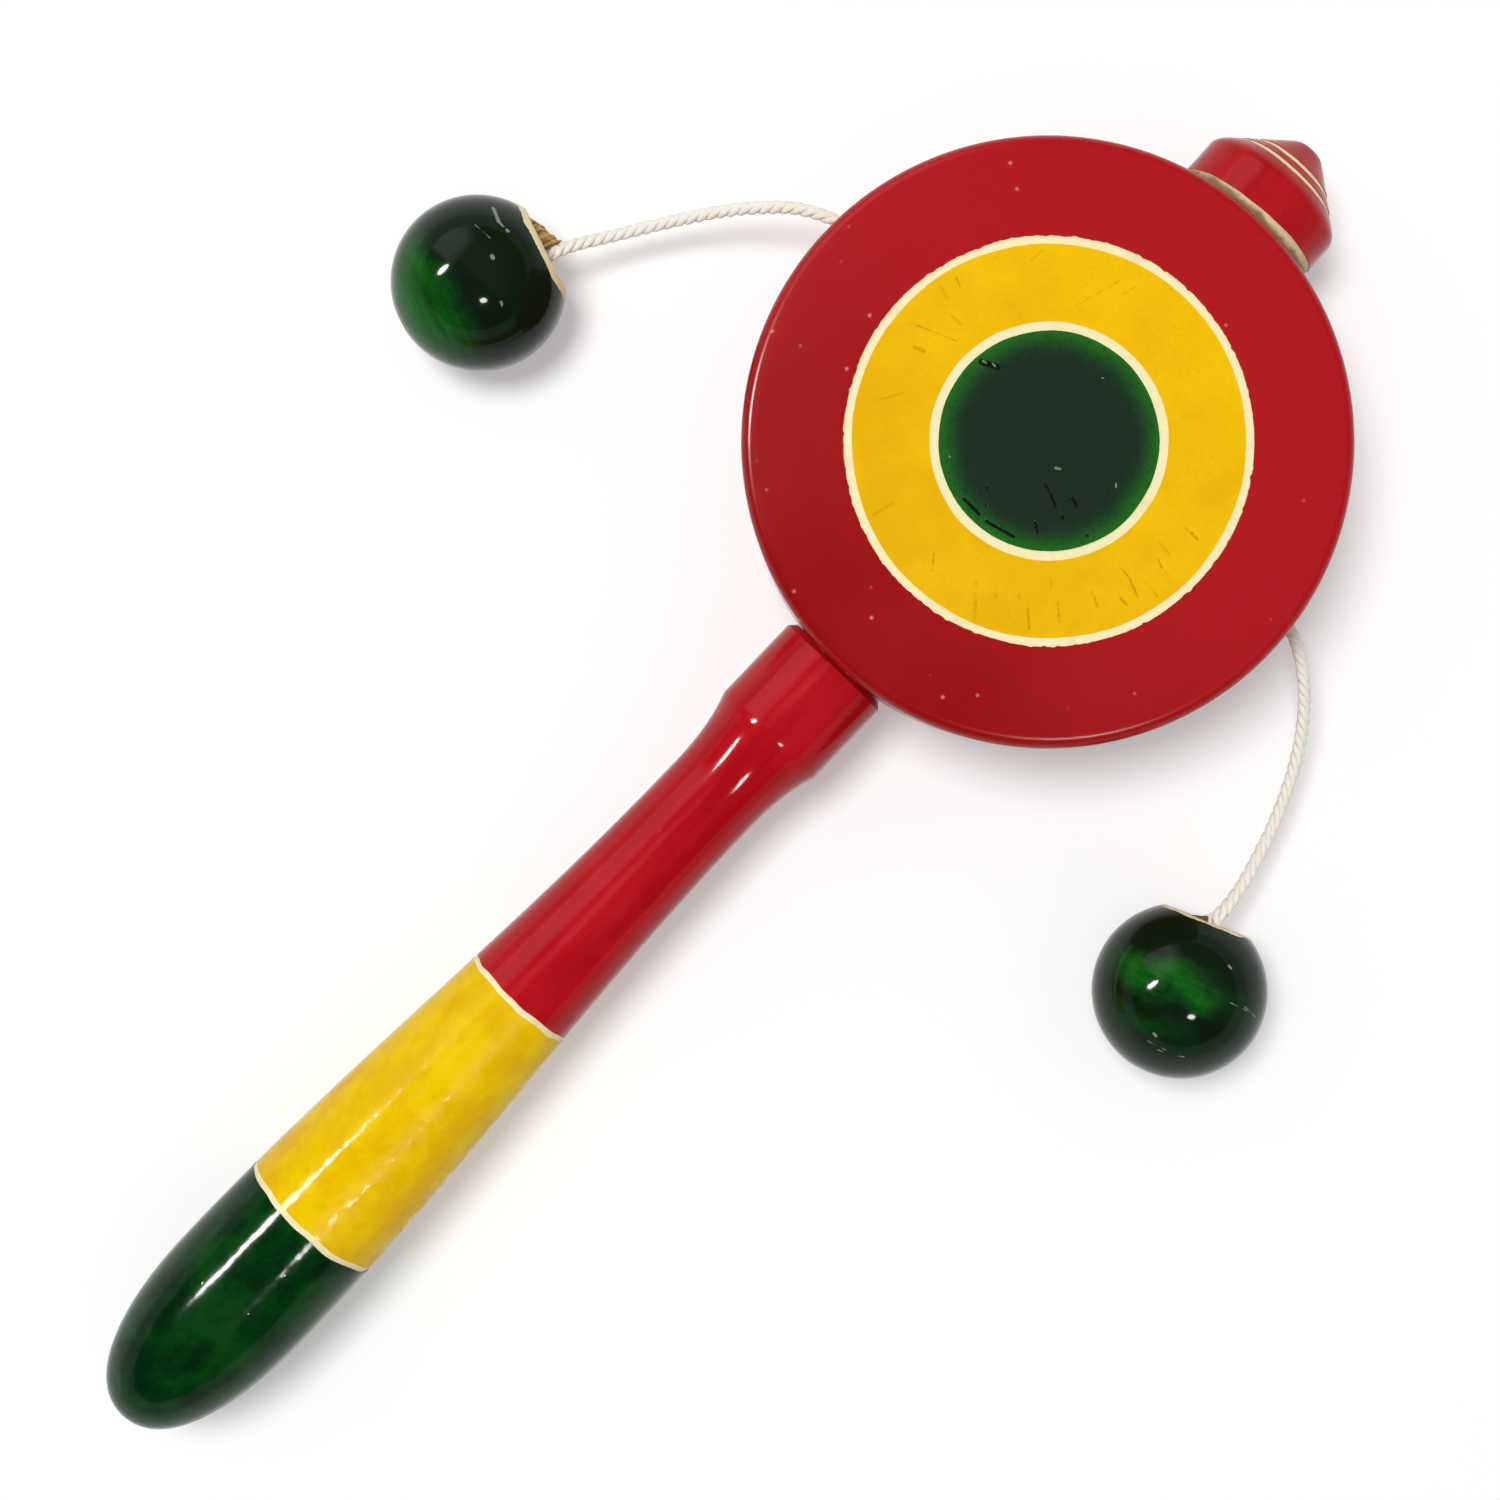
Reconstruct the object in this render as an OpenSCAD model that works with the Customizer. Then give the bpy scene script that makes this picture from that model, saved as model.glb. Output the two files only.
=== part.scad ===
// Pellet drum rattle: a hollow turned drum on a handle, with two wooden pellets on strings.
// The drum lies on its back face. Z is the drum's axis, the handle points to -Y and the finial to +Y.

/* [Drum] */
// Diameter of the drum
drum_d = 70; // [60:1:100]
// Thickness of the drum from face to face
drum_t = 28; // [26:1:40]
// Thickness of each head at its edge
head_t = 4; // [3:0.5:5]
// Depth of the locating step under each head
head_step = 2; // [1:0.5:3]
// Gap between a head's step and the rim that it drops into
head_gap = 0.1; // [0.05:0.05:0.3]
// Radius of the rounded edge of each head
head_edge_r = 1.5; // [0.5:0.25:2.5]
// Wall of the turned rim
rim_wall = 6; // [5:0.5:9]
// Depth of the flat that the handle and the finial sit on
seat_depth = 0.4; // [0.2:0.1:0.6]

/* [Face rings] */
// Diameter of the green disc in the middle of a face
disc_d = 25.2; // [16:0.2:30]
// Width of the bare line round the green disc
inner_line_w = 1.3; // [0.5:0.1:2]
// Width of the yellow ring
yellow_ring_w = 8.7; // [5:0.1:10]
// Width of the bare line round the yellow ring
outer_line_w = 0.9; // [0.5:0.1:2]

/* [Handle] */
// Length of the handle from its seat on the drum to its end
handle_len = 122.8; // [100:0.2:160]
// Diameter of the straight collar at the drum
collar_d = 14.8; // [13:0.2:18]
// Length of the collar
collar_len = 11; // [8:0.5:16]
// Bevel on the end of the collar
collar_bevel = 0.8; // [0.4:0.1:1.5]
// Length of the neck between the collar and the waist
neck_len = 10.8; // [8:0.2:16]
// Diameter of the waist
waist_d = 11.9; // [10:0.1:12.8]
// Diameter of the grip where it is widest
grip_d = 18.8; // [14:0.2:24]
// Length of the rounded end
tip_len = 21.4; // [14:0.2:30]
// Length of the red lacquer, collar included
red_len = 54.4; // [40:0.2:62]
// Length of the yellow lacquer
yellow_len = 34.8; // [15:0.2:36]
// Width of the bare line between two colours
band_line_w = 0.7; // [0.4:0.1:1.5]
// Diameter of the tenon that is glued into the rim
tenon_d = 9; // [7:0.5:11]
// Length of the tenon
tenon_len = 10; // [6:0.5:14]
// Gap for glue round a tenon
tenon_gap = 0.1; // [0.05:0.05:0.3]

/* [Finial] */
// Diameter of the finial
finial_d = 18.8; // [15:0.2:20]
// Length of the finial from its seat on the drum
finial_len = 13.6; // [11.5:0.2:18]
// Height of the finial's shoulder above its seat
shoulder_h = 6.9; // [5:0.1:7.5]
// Width of the bare base band
base_band_w = 3; // [1:0.1:4]
// Diameter of the finial's blunt tip, where its rounding starts
blunt_d = 5; // [3:0.2:7]
// Length of the rounded tip
blunt_len = 1; // [0.4:0.1:1.6]
// Height of the first thin line on the cone, above the shoulder
line_h = 2; // [1:0.1:2.4]
// Distance between the two thin lines
line_pitch = 1.2; // [0.8:0.1:1.3]
// Width of each thin line
line_w = 0.4; // [0.2:0.05:0.6]
// Angle by which the finial's socket is off the handle's line
finial_skew = 1.5; // [0:0.5:5]
// Diameter of the finial's tenon
finial_tenon_d = 7; // [5:0.5:9]
// Length of the finial's tenon
finial_tenon_len = 9; // [6:0.5:12]

/* [Strings] */
// Diameter of the twisted string
string_d = 1.6; // [1:0.1:2]
// Gap between a string and the hole that it runs through
string_gap = 0.3; // [0.2:0.05:0.6]
// Angle of the left string's hole, from the cross line of the drum towards the finial
left_hole_angle = 5.5; // [0:0.5:15]
// Angle of the right string's hole, from the cross line of the drum towards the finial
right_hole_angle = 8.5; // [0:0.5:15]
// Turns of string in each stopper knot
knot_turns = 3; // [2:1:4]
// Gap between a knot and the inside of the rim
knot_gap = 0.3; // [0.1:0.1:0.5]

/* [Pellets] */
// Diameter of each wooden ball
bead_d = 21; // [18:0.5:24]
// Diameter of the bare flat at the string's end of a ball
bead_flat_d = 11; // [8:0.5:13]
// Diameter of the small flat at the other end
bead_tail_d = 4; // [3.5:0.1:6]
// Diameter of the hole for the string and its peg
peg_hole_d = 3.2; // [2.8:0.1:4.5]
// Depth of that hole
peg_hole_len = 9; // [8.5:0.5:12]
// Length of string held in a ball
string_grip = 7; // [4:0.5:8]
// Length of the peg inside a ball
peg_grip = 8; // [4:0.5:8]
// Length of the left peg's broken stub
left_stub = 1.8; // [0.6:0.1:2.5]
// Length of the right peg's broken stub
right_stub = 0.8; // [0.6:0.1:2.5]
// Gap between a peg and the hole
peg_gap = 0.05; // [0.02:0.01:0.1]
// Angle of a peg's broken end
stub_slant = 20; // [0:5:30]
// Left ball's place across the drum, to the left
left_bead_x = 62.6; // [60:0.1:70]
// Left ball's place along the handle, from the drum's middle
left_bead_y = 31.2; // [25:0.1:40]
// Right ball's place across the drum, to the right
right_bead_x = 56.8; // [54:0.1:70]
// Right ball's place along the handle, from the drum's middle
right_bead_y = 34.8; // [28:0.1:40]
// Turn of the left ball's hole away from the finial's direction
left_bead_turn = -20; // [-45:1:0]
// Turn of the right ball's hole away from the finial's direction
right_bead_turn = 22; // [0:1:45]

/* [Hidden] */
$fn = 96;
// How far a cut runs past the surface that it opens
overrun = 1;

// Lacquer, bare wood and string colours
red = "#AA2226";
yellow = "#EEBA02";
green = "#17401F";
bare = "#E6D29A";
brown = "#A9783C";
cotton = "#F2E5CA";

// Drum
drum_r = drum_d / 2;
rim_in_r = drum_r - rim_wall;
rim_h = drum_t - 2 * head_t;
mid_z = drum_t / 2;
seat_r = drum_r - seat_depth;
disc_r = disc_d / 2;
yellow_in_r = disc_r + inner_line_w;
yellow_out_r = yellow_in_r + yellow_ring_w;
red_in_r = yellow_out_r + outer_line_w;

// Handle, measured along its length from its seat
collar_r = collar_d / 2;
waist_r = waist_d / 2;
grip_r = grip_d / 2;
waist_at = collar_len + neck_len;
grip_at = handle_len - tip_len;
yellow_from = red_len + band_line_w;
yellow_to = yellow_from + yellow_len;
green_from = yellow_to + band_line_w;
// How blunt the rounded end is: 2 is an ellipse, more is fuller
tip_power = 2.3;
neck_steps = 10;
swell_steps = 24;
tip_steps = 14;

// Finial, measured along its length from its seat
finial_r = finial_d / 2;
blunt_r = blunt_d / 2;
blunt_at = finial_len - blunt_len;
first_line = shoulder_h + line_h;
second_line = first_line + line_pitch;
blunt_steps = 6;

// Strings
string_r = string_d / 2;
string_hole_d = string_d + 2 * string_gap;
string_sides = 8;
knot_len = knot_turns * string_d;
knot_core_r = string_d;
knot_end_r = rim_in_r - knot_gap;

// Pellets
bead_r = bead_d / 2;
bead_flat_z = sqrt(pow(bead_r, 2) - pow(bead_flat_d / 2, 2));
bead_tail_z = sqrt(pow(bead_r, 2) - pow(bead_tail_d / 2, 2));
peg_hole_r = peg_hole_d / 2;
// The string lies against one side of its hole and the peg fills the other
string_off = peg_hole_r - string_r - peg_gap;
peg_flat_x = string_off - string_r - peg_gap;

// Each string's free route, from the drum to the ball, in round numbers
left_free = [
    [-36.5, 3.2, 14], [-38.8, 2.3, 13.7], [-41.3, 0.9, 13], [-43.7, -1.1, 12.1], [-46, -3.3, 11.1],
    [-48.2, -5.8, 10.1], [-50.2, -8.4, 9.3], [-52.1, -11.1, 8.7], [-53.9, -13.8, 8.4],
    [-55.6, -16.5, 8.6], [-57.1, -19, 9.3], [-58.2, -21.2, 10.1]
];
right_free = [
    [36.4, 5.2, 14], [38.7, 4.2, 13.7], [41, 2.7, 13], [43.2, 0.9, 12.1], [45.2, -1.2, 11.1],
    [47.1, -3.6, 10.1], [48.8, -6.3, 9.3], [50.3, -9.3, 8.7], [51.6, -12.4, 8.4], [52.6, -15.5, 8.4],
    [53.4, -18.6, 8.8], [53.9, -21.5, 9.5], [54.1, -24.2, 10.2]
];

// Smooth step from 0 to 1, level at both ends
function ease(t) = (1 - cos(180 * t)) / 2;

function blend(from, to, t) = from + (to - from) * ease(t);

// Radius of the handle at a distance from its seat
function handle_r(x) =
    x < collar_bevel ? collar_r - collar_bevel + x :
    x < collar_len ? collar_r :
    x < waist_at ? blend(collar_r, waist_r, (x - collar_len) / neck_len) :
    x < grip_at ? blend(waist_r, grip_r, (x - waist_at) / (grip_at - waist_at)) :
    x < handle_len ? grip_r * pow(1 - pow((x - grip_at) / tip_len, tip_power), 1 / tip_power) : 0;

// Distances from the handle's seat at which its outline has a point
handle_stations = concat(
    [0, collar_bevel],
    [for (i = [0:neck_steps]) collar_len + neck_len * i / neck_steps],
    [for (i = [1:swell_steps]) waist_at + (grip_at - waist_at) * i / swell_steps],
    [for (i = [1:tip_steps]) grip_at + tip_len * pow(sin(90 * i / tip_steps), 2 / tip_power)]
);

// Radius of the finial at a distance from its seat
function finial_r_at(x) =
    x < shoulder_h ? finial_r :
    x < blunt_at ? finial_r + (blunt_r - finial_r) * (x - shoulder_h) / (blunt_at - shoulder_h) :
    x < finial_len ? blunt_r * sqrt(1 - pow((x - blunt_at) / blunt_len, 2)) : 0;

finial_stations = concat(
    [0, shoulder_h, blunt_at],
    [for (i = [1:blunt_steps]) blunt_at + blunt_len * sin(90 * i / blunt_steps)]
);

// A point at a radius from the drum's axis, at mid thickness, on the line of a string's hole
function hole_point(side, angle, r) = [side * r * cos(angle), r * sin(angle), mid_z];

// A point on a string inside its ball, at a height above the ball's middle
function bead_point(x, y, turn, h) = [
    x + string_off * cos(turn) - h * sin(turn),
    y + string_off * sin(turn) + h * cos(turn),
    bead_r
];

// The whole route of a string, from the inside of the rim to its end in the ball
function string_route(side, angle, free, x, y, turn) = concat(
    [hole_point(side, angle, rim_in_r), hole_point(side, angle, drum_r)],
    free,
    [bead_point(x, y, turn, bead_flat_z), bead_point(x, y, turn, bead_flat_z - string_grip)]
);

function unit(v) = v / norm(v);

// Direction of a route at one of its points
function heading(route, i) = unit(route[min(i + 1, len(route) - 1)] - route[max(i - 1, 0)]);

// One ring of a tube, square to the route
function tube_ring(route, i, r, sides) =
    let (
        ahead = heading(route, i),
        across = unit(cross(ahead, [0, 0, 1])),
        up = cross(across, ahead)
    )
    [for (k = [0:sides - 1]) route[i] + r * (cos(360 * k / sides) * across + sin(360 * k / sides) * up)];

// A round tube along a route, closed at both ends
module tube(route, r, sides) {
    rings = len(route);
    last = (rings - 1) * sides;
    points = [for (i = [0:rings - 1]) each tube_ring(route, i, r, sides)];
    wall = [
        for (i = [0:rings - 2], k = [0:sides - 1])
            let (a = i * sides + k, b = i * sides + (k + 1) % sides)
            each [[a, a + sides, b], [b, a + sides, b + sides]]
    ];
    near_cap = [for (k = [1:sides - 2]) [0, k, k + 1]];
    far_cap = [for (k = [1:sides - 2]) [last, last + k + 1, last + k]];
    polyhedron(points = points, faces = concat(wall, near_cap, far_cap));
}

// A slice of a turned piece between two distances along its axis, which is Z
module turned_slice(from, to, stations, radii) {
    outline = [for (i = [0:len(stations) - 1]) [stations[i], radii[i]]];
    rotate_extrude()
        polygon(concat(
            [[0, from], [lookup(from, outline), from]],
            [for (p = outline) if (p[0] > from && p[0] < to) [p[1], p[0]]],
            [[lookup(to, outline), to], [0, to]]
        ));
}

// Carries a piece that is turned about Z to the handle's side of the drum
module to_handle() {
    translate([0, 0, mid_z])
        rotate([90, 0, 0])
            translate([0, 0, seat_r])
                children();
}

// Carries a piece that is turned about Z to the finial's side of the drum
module to_finial() {
    rotate([0, 0, finial_skew])
        translate([0, 0, mid_z])
            rotate([-90, 0, 0])
                translate([0, 0, seat_r])
                    children();
}

// Carries a piece whose axis is Z to a ball's place
module to_bead(x, y, turn) {
    translate([x, y, bead_r])
        rotate([0, 0, turn])
            rotate([-90, 0, 0])
                children();
}

// Carries a piece whose axis is Z to the line of a string's hole
module to_string_hole(side, angle) {
    translate([0, 0, mid_z])
        rotate([0, 0, side > 0 ? angle : 180 - angle])
            rotate([0, 90, 0])
                children();
}

// The flats that the handle's collar and the finial sit on
module seat_cuts() {
    to_handle()
        cylinder(h = seat_depth + overrun, r = collar_r);
    to_finial()
        cylinder(h = seat_depth + overrun, r = finial_r);
}

module handle() {
    radii = [for (x = handle_stations) handle_r(x)];
    to_handle() {
        color(red) turned_slice(0, red_len, handle_stations, radii);
        color(bare) turned_slice(red_len, yellow_from, handle_stations, radii);
        color(yellow) turned_slice(yellow_from, yellow_to, handle_stations, radii);
        color(bare) turned_slice(yellow_to, green_from, handle_stations, radii);
        color(green) turned_slice(green_from, handle_len, handle_stations, radii);
        color(bare)
            translate([0, 0, -tenon_len])
                cylinder(h = tenon_len, d = tenon_d);
    }
}

module finial() {
    radii = [for (x = finial_stations) finial_r_at(x)];
    to_finial() {
        color(bare) turned_slice(0, base_band_w, finial_stations, radii);
        color(red) turned_slice(base_band_w, first_line, finial_stations, radii);
        color(bare) turned_slice(first_line, first_line + line_w, finial_stations, radii);
        color(red) turned_slice(first_line + line_w, second_line, finial_stations, radii);
        color(bare) turned_slice(second_line, second_line + line_w, finial_stations, radii);
        color(red) turned_slice(second_line + line_w, finial_len, finial_stations, radii);
        color(bare)
            translate([0, 0, -finial_tenon_len])
                cylinder(h = finial_tenon_len, d = finial_tenon_d);
    }
}

module drum_rim() {
    color(red)
        difference() {
            translate([0, 0, head_t])
                rotate_extrude()
                    translate([rim_in_r, 0])
                        square([rim_wall, rim_h]);
            seat_cuts();
            to_handle()
                translate([0, 0, -rim_wall - overrun])
                    cylinder(h = rim_wall + 2 * overrun, d = tenon_d + 2 * tenon_gap);
            to_finial()
                translate([0, 0, -rim_wall - overrun])
                    cylinder(h = rim_wall + 2 * overrun, d = finial_tenon_d + 2 * tenon_gap);
            string_hole(-1, left_hole_angle);
            string_hole(1, right_hole_angle);
        }
}

// The hole for one string, from inside the rim to past its outside
module string_hole(side, angle) {
    to_string_hole(side, angle)
        translate([0, 0, rim_in_r - overrun])
            cylinder(h = rim_wall + 2 * overrun, d = string_hole_d);
}

// Outline of a head from its inner face up, with the locating step under it
module head_outline() {
    square([drum_r, head_t - head_edge_r]);
    square([drum_r - head_edge_r, head_t]);
    translate([drum_r - head_edge_r, head_t - head_edge_r])
        circle(r = head_edge_r);
    translate([0, -head_step])
        square([rim_in_r - head_gap, head_step]);
}

// The part of a head between two radii
module head_ring(from, to) {
    rotate_extrude()
        intersection() {
            head_outline();
            translate([from, -head_step])
                square([to - from, head_t + head_step]);
        }
}

// A head with its inner face at Z = 0 and its lacquered face up
module head() {
    color(green) head_ring(0, disc_r);
    color(bare) head_ring(disc_r, yellow_in_r);
    color(yellow) head_ring(yellow_in_r, yellow_out_r);
    color(bare) head_ring(yellow_out_r, red_in_r);
    color(red) head_ring(red_in_r, drum_r);
}

module front_head() {
    difference() {
        translate([0, 0, drum_t - head_t])
            head();
        seat_cuts();
    }
}

module back_head() {
    difference() {
        translate([0, 0, head_t])
            mirror([0, 0, 1])
                head();
        seat_cuts();
    }
}

module left_string() {
    color(cotton)
        tube(
            string_route(-1, left_hole_angle, left_free, -left_bead_x, -left_bead_y, left_bead_turn),
            string_r, string_sides
        );
}

module right_string() {
    color(cotton)
        tube(
            string_route(1, right_hole_angle, right_free, right_bead_x, -right_bead_y, right_bead_turn),
            string_r, string_sides
        );
}

// A stopper knot: round turns of string side by side on the string's own end
module knot() {
    translate([0, 0, knot_end_r - knot_len])
        rotate_extrude() {
            square([knot_core_r, knot_len]);
            for (i = [0:knot_turns - 1])
                translate([knot_core_r, string_r + i * string_d])
                    circle(r = string_r);
        }
}

module left_string_knot() {
    color(cotton) to_string_hole(-1, left_hole_angle) knot();
}

module right_string_knot() {
    color(cotton) to_string_hole(1, right_hole_angle) knot();
}

// A turned ball with its hole along Z and the string's end up
module bead() {
    color(green)
        difference() {
            intersection() {
                sphere(r = bead_r);
                translate([0, 0, -bead_tail_z])
                    cylinder(h = bead_tail_z + bead_flat_z, r = bead_r + overrun);
            }
            translate([0, 0, -bead_r - overrun])
                cylinder(h = bead_d + 2 * overrun, d = string_hole_d);
            translate([0, 0, bead_flat_z - peg_hole_len])
                cylinder(h = peg_hole_len + overrun, d = peg_hole_d);
        }
}

module left_bead() {
    to_bead(-left_bead_x, -left_bead_y, left_bead_turn) bead();
}

module right_bead() {
    to_bead(right_bead_x, -right_bead_y, right_bead_turn) bead();
}

// A split peg that fills its hole beside the string, with a broken stub outside
module peg(stub) {
    color(brown)
        difference() {
            intersection() {
                translate([0, 0, bead_flat_z - peg_grip])
                    cylinder(h = peg_grip + stub, r = peg_hole_r - peg_gap);
                translate([-peg_hole_d, -peg_hole_r, bead_flat_z - peg_grip])
                    cube([peg_hole_d + peg_flat_x, peg_hole_d, peg_grip + stub]);
            }
            translate([peg_flat_x, 0, bead_flat_z + stub])
                rotate([0, -stub_slant, 0])
                    translate([-2 * peg_hole_d, -peg_hole_d, 0])
                        cube([2 * peg_hole_d + overrun, 2 * peg_hole_d, stub + peg_hole_d]);
        }
}

module left_bead_peg() {
    to_bead(-left_bead_x, -left_bead_y, left_bead_turn) peg(left_stub);
}

module right_bead_peg() {
    to_bead(right_bead_x, -right_bead_y, right_bead_turn) peg(right_stub);
}

handle();
drum_rim();
front_head();
back_head();
finial();
left_string();
right_string();
left_string_knot();
right_string_knot();
left_bead();
right_bead();
left_bead_peg();
right_bead_peg();
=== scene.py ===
"""Looks of the pellet drum rattle: turned and lacquered wood, cotton strings and plain studio light."""

import math
from collections import namedtuple

import bpy
import numpy as np
from mathutils import Matrix, Vector, noise
from mathutils.geometry import intersect_line_sphere


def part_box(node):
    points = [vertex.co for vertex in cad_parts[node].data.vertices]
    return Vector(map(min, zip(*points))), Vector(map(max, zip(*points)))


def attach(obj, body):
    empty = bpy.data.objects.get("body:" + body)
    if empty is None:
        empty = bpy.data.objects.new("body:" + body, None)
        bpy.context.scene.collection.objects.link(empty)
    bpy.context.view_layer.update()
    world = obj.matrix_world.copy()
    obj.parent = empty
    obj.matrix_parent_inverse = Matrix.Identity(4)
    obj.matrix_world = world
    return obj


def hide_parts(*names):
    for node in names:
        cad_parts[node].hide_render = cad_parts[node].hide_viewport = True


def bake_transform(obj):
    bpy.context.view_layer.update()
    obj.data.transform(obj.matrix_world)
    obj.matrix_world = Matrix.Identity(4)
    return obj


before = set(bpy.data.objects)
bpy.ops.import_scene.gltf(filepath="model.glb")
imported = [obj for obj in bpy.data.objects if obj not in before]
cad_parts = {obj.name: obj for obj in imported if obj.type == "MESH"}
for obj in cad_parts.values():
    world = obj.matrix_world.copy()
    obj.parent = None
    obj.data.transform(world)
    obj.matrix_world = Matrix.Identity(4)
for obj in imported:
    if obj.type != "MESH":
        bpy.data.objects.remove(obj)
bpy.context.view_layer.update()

# Sizes that the solids give, in metres
front_low, front_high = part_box("front_head")
handle_low, handle_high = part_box("handle")
bead_low, bead_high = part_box("left_bead")
DRUM_R = (front_high.x - front_low.x) / 2
DRUM_T = front_high.z
MID_Z = DRUM_T / 2
BEAD_R = (bead_high.z - bead_low.z) / 2
GRIP_R = (handle_high.z - handle_low.z) / 2

# Drum
HEAD_T = 0.004
HEAD_EDGE_R = 0.0015
RIM_WALL = 0.006
SEAT_R = DRUM_R - 0.0004
DISC_R = 0.01255
YELLOW_IN_R = DISC_R + 0.00105
YELLOW_OUT_R = YELLOW_IN_R + 0.0088
RED_IN_R = YELLOW_OUT_R + 0.00095

# Handle, along its length from its seat on the drum
HANDLE_LEN = -handle_low.y - SEAT_R
COLLAR_R = 0.0074
COLLAR_LEN = 0.0118
COLLAR_BEVEL = 0.0008
WAIST_AT = 0.0218
WAIST_R = 0.00595
TIP_LEN = 0.0214
TIP_POWER = 2.3
GRIP_AT = HANDLE_LEN - TIP_LEN
RED_TO = 0.0544
YELLOW_FROM = RED_TO + 0.0007
YELLOW_TO = YELLOW_FROM + 0.0348
GREEN_FROM = YELLOW_TO + 0.0007

# Finial, along its length from its seat on the drum
FINIAL_R = 0.0094
FINIAL_LEN = 0.0136
SHOULDER_AT = 0.0069
BASE_BAND_TO = 0.0023
BASE_BAND_LEAN = 0.0004
SHOULDER_R = 0.0009
BLUNT_R = 0.0025
BLUNT_LEN = 0.001
BLUNT_AT = FINIAL_LEN - BLUNT_LEN
# The cone meets the tip's rounding in line with it
SHOULDER_SEEN = Vector(((SHOULDER_AT - BLUNT_AT) / BLUNT_LEN, FINIAL_R / BLUNT_R))
CONE_TURN = math.atan2(SHOULDER_SEEN.y, SHOULDER_SEEN.x) - math.acos(1 / SHOULDER_SEEN.length)
CONE_TO = BLUNT_AT + BLUNT_LEN * math.cos(CONE_TURN)
CONE_END_R = BLUNT_R * math.sin(CONE_TURN)
LINE_FROMS = (0.0084, 0.0098)
LINE_W = 0.0006
FINIAL_SKEW = math.radians(1.5)

# Pellets
BEAD_FLAT_R = 0.0055
BEAD_TAIL_R = 0.002
LEFT_BARE = 0.0011
RIGHT_BARE = 0.0003
BEAD_FLAT_Z = math.sqrt(BEAD_R**2 - BEAD_FLAT_R**2)
BEAD_TAIL_Z = math.sqrt(BEAD_R**2 - BEAD_TAIL_R**2)
PEG_HOLE_R = 0.0016
PEG_HOLE_LEN = 0.009
TAIL_HOLE_R = 0.0011
TAIL_HOLE_LEN = 0.005
LEFT_BEAD = Vector((-0.0626, -0.0312, BEAD_R))
RIGHT_BEAD = Vector((0.0568, -0.0348, BEAD_R))
LEFT_TURN = math.radians(-20)
RIGHT_TURN = math.radians(22)

# Strings: three plies laid left-handed, in routes that run from the drum to the pellets
STRING_D = 0.0016
STRING_GRIP = 0.007
STRING_OFF = PEG_HOLE_R - STRING_D / 2 - 0.00005
PLIES = 3
PLY_R = 0.0004
PLY_OFF = STRING_D / 2 - PLY_R
PLY_SIDES = 12
LAY = 0.004
STRING_STEP = 0.0002
CURVE_STEPS = 24
# How far the plies spread near a pellet, and over what length round its mouth
MOUTH_REACH = 0.006
LEFT_OPENING = 0.1
RIGHT_OPENING = 0.5
LEFT_HOLE_ANGLE = math.radians(5.5)
RIGHT_HOLE_ANGLE = math.radians(8.5)
LEFT_FREE = [
    (-0.0365, 0.0032, 0.014), (-0.0388, 0.0023, 0.0137), (-0.0413, 0.0009, 0.013),
    (-0.0437, -0.0011, 0.0121), (-0.046, -0.0033, 0.0111), (-0.0482, -0.0058, 0.0101),
    (-0.0502, -0.0084, 0.0093), (-0.0521, -0.0111, 0.0087), (-0.0539, -0.0138, 0.0084),
    (-0.0556, -0.0165, 0.0086), (-0.0571, -0.019, 0.0093), (-0.0582, -0.0212, 0.0101),
]
RIGHT_FREE = [
    (0.0364, 0.0052, 0.014), (0.0387, 0.0042, 0.0137), (0.041, 0.0027, 0.013),
    (0.0432, 0.0009, 0.0121), (0.0452, -0.0012, 0.0111), (0.0471, -0.0036, 0.0101),
    (0.0488, -0.0063, 0.0093), (0.0503, -0.0093, 0.0087), (0.0516, -0.0124, 0.0084),
    (0.0526, -0.0155, 0.0084), (0.0534, -0.0186, 0.0088), (0.0539, -0.0215, 0.0095),
    (0.0541, -0.0242, 0.0102),
]

# Finish
GROOVE = 0.0001
TURNED_SIDES = 256
HEAD_SIDES = 720
SHARP = math.radians(40)
RELIEF = 0.3
GLOSS = 0.15
SATIN = 0.25
DULL = 0.1
FIBRE_LAY = 0.0016

# Pegs: length along the flat, height at the string and width of each torn stub
PEG_GAP = 0.00005
PEG_SHANK = 0.006
PEG_SINK = 0.0003
LEFT_STUB = (0.0042, 0.0023, 0.0032)
RIGHT_STUB = (0.0018, 0.0007, 0.0022)

# Floor and room
FLOOR_DROP = 0.0001
FLOOR_MIDDLE_R = 0.02
FLOOR_R = 1.4
SWEEP_R = 0.9
FLOOR_SIDES = 96
PAPER_WHITE = 0.8
PAPER_GLOW = 0.28
ROOM_LIGHT = 0.36
ROOM_TOP = 0.34
ROOM_SIDES = 0.12
SHADED_HALF = 0.15
WINDOW = 1.8

# Marks, by the pixels of the photograph where they start and end, and their width
DISC_CRACKS = [
    ((981, 362), (998, 367), 0.0009), ((1045, 484), (1051, 495), 0.0003),
    ((1051, 495), (1056, 507), 0.0004), ((1062, 516), (1063, 518), 0.0005),
    ((1072, 498), (1077, 506), 0.0005), ((1035, 522), (1038, 533), 0.0004),
    ((987, 487), (988, 489), 0.0004), ((986, 505), (986, 507), 0.0003),
    ((1087, 535), (1088, 536), 0.0004), ((964, 499), (979, 514), 0.0005),
    ((986, 521), (1014, 537), 0.0005),
]
# Chips and nibs of the disc, painted pale as their glints
DISC_CHIPS_AND_GLINTS = [
    ((1056, 468), (1060, 469), 0.0004), ((983, 361), (986, 363), 0.0003),
    ((993, 364), (995, 366), 0.0003), ((1116, 484), (1116, 487), 0.0003),
    ((1102, 378), (1103, 378), 0.0002), ((949, 456), (950, 457), 0.0002),
]
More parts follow.
